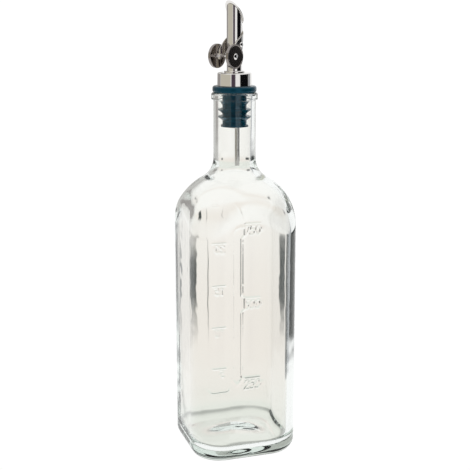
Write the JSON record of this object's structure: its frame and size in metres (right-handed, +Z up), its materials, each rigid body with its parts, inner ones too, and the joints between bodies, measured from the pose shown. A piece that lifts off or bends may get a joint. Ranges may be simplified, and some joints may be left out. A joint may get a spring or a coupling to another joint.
{
  "type": "glass oil bottle with pourer",
  "caption": "Square clear glass oil bottle with domed shoulder, raised volume scale and a ribbed stopper that holds a steel spout with a weighted, self-closing flap.",
  "frame": {"origin": "centre of the base, on the surface that the bottle stands on", "axes": "+Z up along the neck and spout, X and Y square to the flat faces; the raised scale is on the -Y face"},
  "size_m": [0.077, 0.0776, 0.3199],
  "materials": {
    "clear_glass": "clear, pressed, fire-polished",
    "stopper_rubber": "semi-gloss dark teal",
    "polished_steel": "mirror-polished stainless steel",
    "vent_steel": "drawn stainless tube",
    "weight_steel": "mirror-polished turned steel"
  },
  "bodies": {
    "bottle": {"glass_bottle": "clear_glass"},
    "pourer": {"stopper": "stopper_rubber", "collar": "polished_steel", "tube_ferrule": "polished_steel", "spout_tube": "polished_steel", "vent_tube": "vent_steel", "pivot_rivets": "polished_steel"},
    "flap": {"flap": "polished_steel", "weight_axle": "polished_steel", "left_counterweight": "weight_steel", "right_counterweight": "weight_steel"}
  },
  "joints": [
    {"name": "pourer_pull", "type": "slide", "parent": "bottle", "child": "pourer", "axis": [0, 0, 1], "range_m": [0, 0.08]},
    {"name": "flap_hinge", "type": "hinge", "parent": "pourer", "child": "flap", "pos_m": [0, 0, 0.29], "axis": [-0.5402, 0.8415, 0], "range_deg": [0, 75]}
  ]
}
